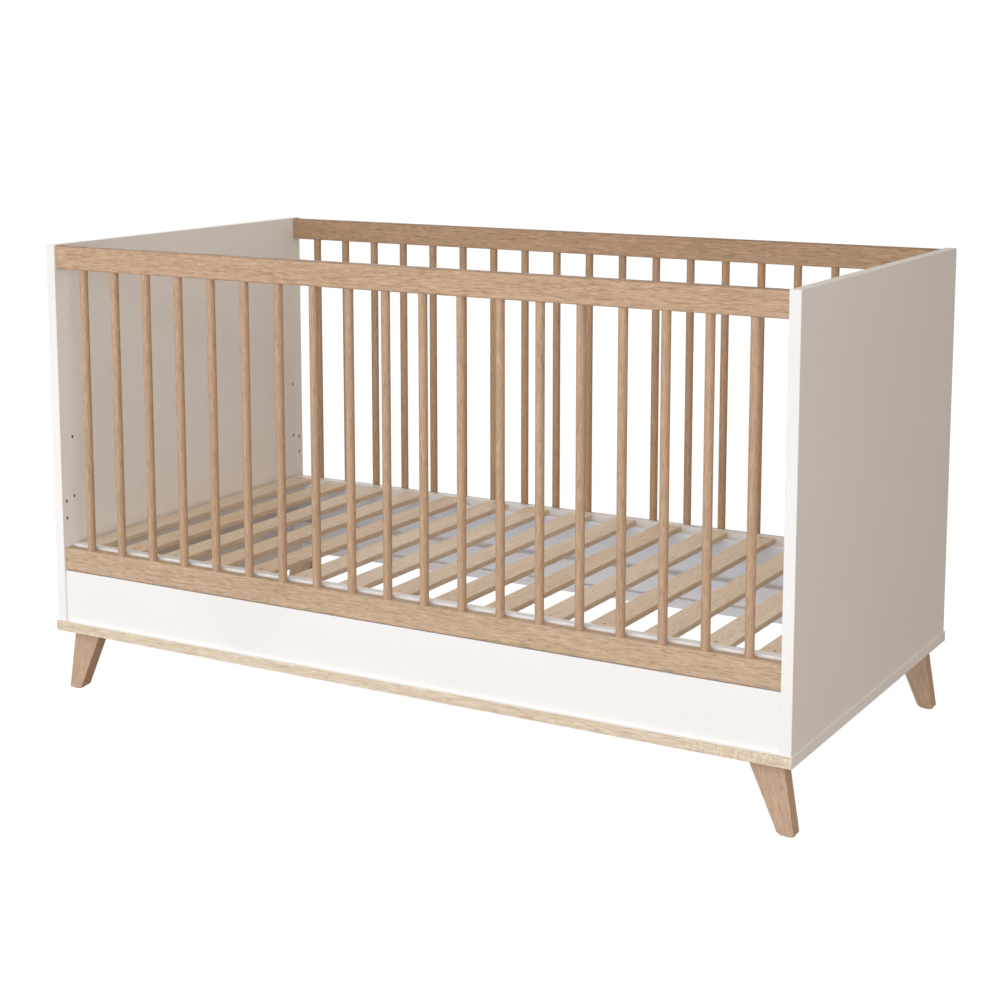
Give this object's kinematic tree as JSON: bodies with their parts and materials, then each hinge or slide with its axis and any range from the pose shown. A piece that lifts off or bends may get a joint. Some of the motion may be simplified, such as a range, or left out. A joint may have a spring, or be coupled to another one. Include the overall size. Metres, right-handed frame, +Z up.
{
  "type": "cot bed",
  "caption": "Cot bed with white end panels, oak spindle sides, splayed legs on a plinth and a height-adjustable slatted base for a 1400 x 700 mm mattress.",
  "frame": {"origin": "on the floor under the middle of the cot", "axes": "+X along the cot's length, the front side faces -Y, +Z up"},
  "size_m": [1.447, 0.755, 0.834],
  "materials": {
    "white_panel": "white satin melamine on board",
    "white_trim": "white satin melamine on board",
    "white_paint": "white lacquered pine",
    "oak_rail": "matt oak grain along the length",
    "oak_spindle": "matt oak grain along the length",
    "oak_leg": "matt oak grain along the length",
    "oak_edging": "pale oak edging, cross-sawn look",
    "slat_wood": "bare planed hardwood",
    "beech_dowel": "fluted beech",
    "zinc_steel": "bright zinc",
    "brass_steel": "yellow zinc",
    "glide_plastic": "matt dark grey"
  },
  "bodies": {
    "cot_frame": {"left_panel": "white_panel", "right_panel": "white_panel", "front_top_rail": "oak_rail", "front_bottom_rail": "oak_rail", "rear_top_rail": "oak_rail", "rear_bottom_rail": "oak_rail", "front_spindles": "oak_spindle", "rear_spindles": "oak_spindle", "front_apron": "white_panel", "rear_apron": "white_panel", "front_batten": "white_trim", "rear_batten": "white_trim", "front_plinth": "white_trim", "rear_plinth": "white_trim", "left_plinth": "white_trim", "right_plinth": "white_trim", "front_edging": "oak_edging", "rear_edging": "oak_edging", "front_left_leg": "oak_leg", "front_right_leg": "oak_leg", "rear_left_leg": "oak_leg", "rear_right_leg": "oak_leg", "leg_glides": "glide_plastic", "leg_bolts": "zinc_steel", "cam_bolts": "zinc_steel", "cam_locks": "zinc_steel", "wood_dowels": "beech_dowel", "plinth_screws": "zinc_steel", "batten_screws": "zinc_steel", "support_pins": "zinc_steel"},
    "mattress_base": {"base_front_rail": "white_paint", "base_rear_rail": "white_paint", "base_left_rail": "white_paint", "base_right_rail": "white_paint", "base_front_cleat": "white_paint", "base_rear_cleat": "white_paint", "slat_screws": "brass_steel", "cleat_screws": "zinc_steel", "base_corner_screws": "zinc_steel", "slat_01": "slat_wood", "slat_02": "slat_wood", "slat_03": "slat_wood", "slat_04": "slat_wood", "slat_05": "slat_wood", "slat_06": "slat_wood", "slat_07": "slat_wood", "slat_08": "slat_wood", "slat_09": "slat_wood", "slat_10": "slat_wood", "slat_11": "slat_wood", "slat_12": "slat_wood", "slat_13": "slat_wood", "slat_14": "slat_wood", "slat_15": "slat_wood"}
  },
  "joints": [
    {"name": "base_height", "type": "slide", "parent": "cot_frame", "child": "mattress_base", "axis": [0, 0, 1], "range_m": [0, 0.222]}
  ]
}
